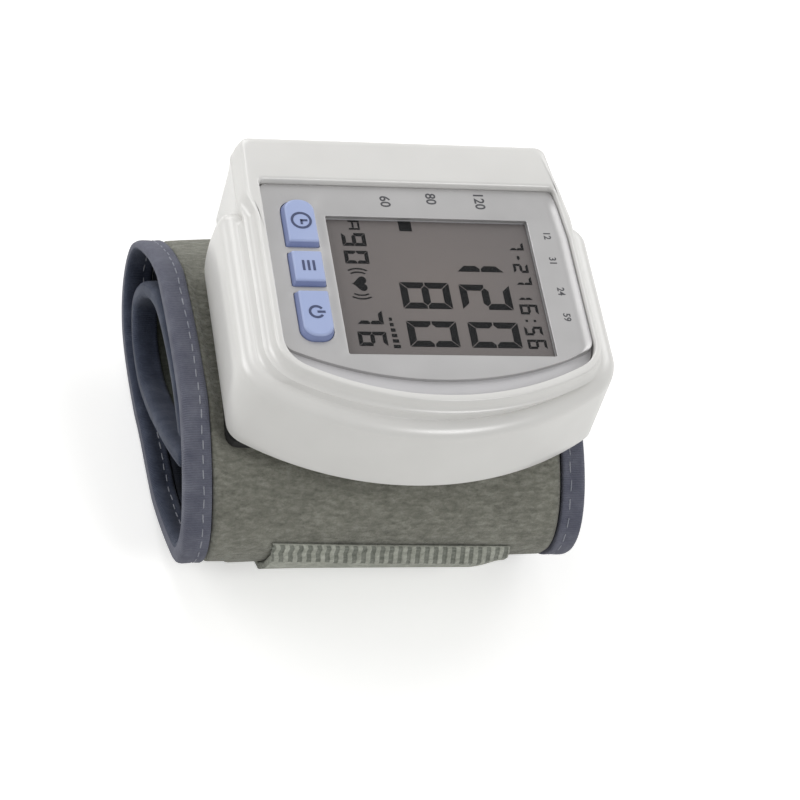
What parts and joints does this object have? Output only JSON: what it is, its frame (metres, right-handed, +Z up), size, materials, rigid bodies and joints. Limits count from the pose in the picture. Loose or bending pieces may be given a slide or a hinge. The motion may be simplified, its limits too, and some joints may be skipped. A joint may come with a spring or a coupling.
{
  "type": "wrist blood pressure monitor",
  "caption": "Wrist blood pressure monitor: rounded white case with a display and a column of keys, on a rolled-up cloth wrist cuff with a closing strap.",
  "frame": {"origin": "middle of the bounding box on the surface that the cuff stands on", "axes": "+X along the cuff, the way the wrist goes through, towards the display's side of the face; +Y away from the case's rounded front edge; +Z up, out of the display"},
  "size_m": [0.087, 0.0828, 0.0674],
  "materials": {
    "white_plastic": "moulded, satin gloss",
    "grey_plastic": "printed panel, satin",
    "clear_window": "clear acrylic, polished",
    "display": "grey liquid crystal display",
    "blue_plastic": "moulded, satin",
    "black_plastic": "moulded, matt",
    "board_laminate": "green solder mask",
    "steel": "plated",
    "rubber": "matt",
    "silicone": "translucent white",
    "cell_sleeve": "plain shrink sleeve",
    "cuff_cloth": "brushed loop cloth",
    "binding_tape": "woven tape, stitched",
    "lining_cloth": "plain woven"
  },
  "bodies": {
    "monitor": {"upper_case": "white_plastic", "lower_case": "white_plastic", "face_panel": "grey_plastic", "display_lens": "clear_window", "lcd_glass": "display", "lcd_frame": "black_plastic", "lcd_contact_strip": "rubber", "circuit_board": "board_laminate", "time_switch": "black_plastic", "memory_switch": "black_plastic", "power_switch": "black_plastic", "buzzer": "black_plastic", "pressure_sensor": "black_plastic", "pump_motor": "steel", "pump_head": "black_plastic", "pump_tube": "silicone", "air_manifold": "black_plastic", "valve_tube": "silicone", "release_valve": "steel", "case_screw_1": "steel", "case_screw_2": "steel", "case_screw_3": "steel", "case_screw_4": "steel", "board_screw_1": "steel", "board_screw_2": "steel", "board_screw_3": "steel", "board_screw_4": "steel", "battery_1": "cell_sleeve", "battery_2": "cell_sleeve", "contact_left_1": "steel", "contact_right_1": "steel", "contact_left_2": "steel", "contact_right_2": "steel", "bracket_lock_ring": "steel", "cuff_bracket": "black_plastic", "cuff_cover": "cuff_cloth", "air_bladder": "rubber", "cuff_lining": "lining_cloth", "left_binding": "binding_tape", "right_binding": "binding_tape", "inner_flap": "lining_cloth", "closing_strap": "cuff_cloth"},
    "time_key": {"time_button": "blue_plastic"},
    "memory_key": {"memory_button": "blue_plastic"},
    "power_key": {"power_button": "blue_plastic"},
    "cover": {"battery_cover": "white_plastic"}
  },
  "joints": [
    {"name": "time_press", "type": "slide", "parent": "monitor", "child": "time_key", "axis": [0, 0, -1], "range_m": [0, 0.0005], "stiffness_N_per_m": 500},
    {"name": "memory_press", "type": "slide", "parent": "monitor", "child": "memory_key", "axis": [0, 0, -1], "range_m": [0, 0.0005], "stiffness_N_per_m": 500},
    {"name": "power_press", "type": "slide", "parent": "monitor", "child": "power_key", "axis": [0, 0, -1], "range_m": [0, 0.0005], "stiffness_N_per_m": 500},
    {"name": "cover_slide", "type": "slide", "parent": "monitor", "child": "cover", "axis": [0, 1, 0], "range_m": [0, 0.025]}
  ]
}
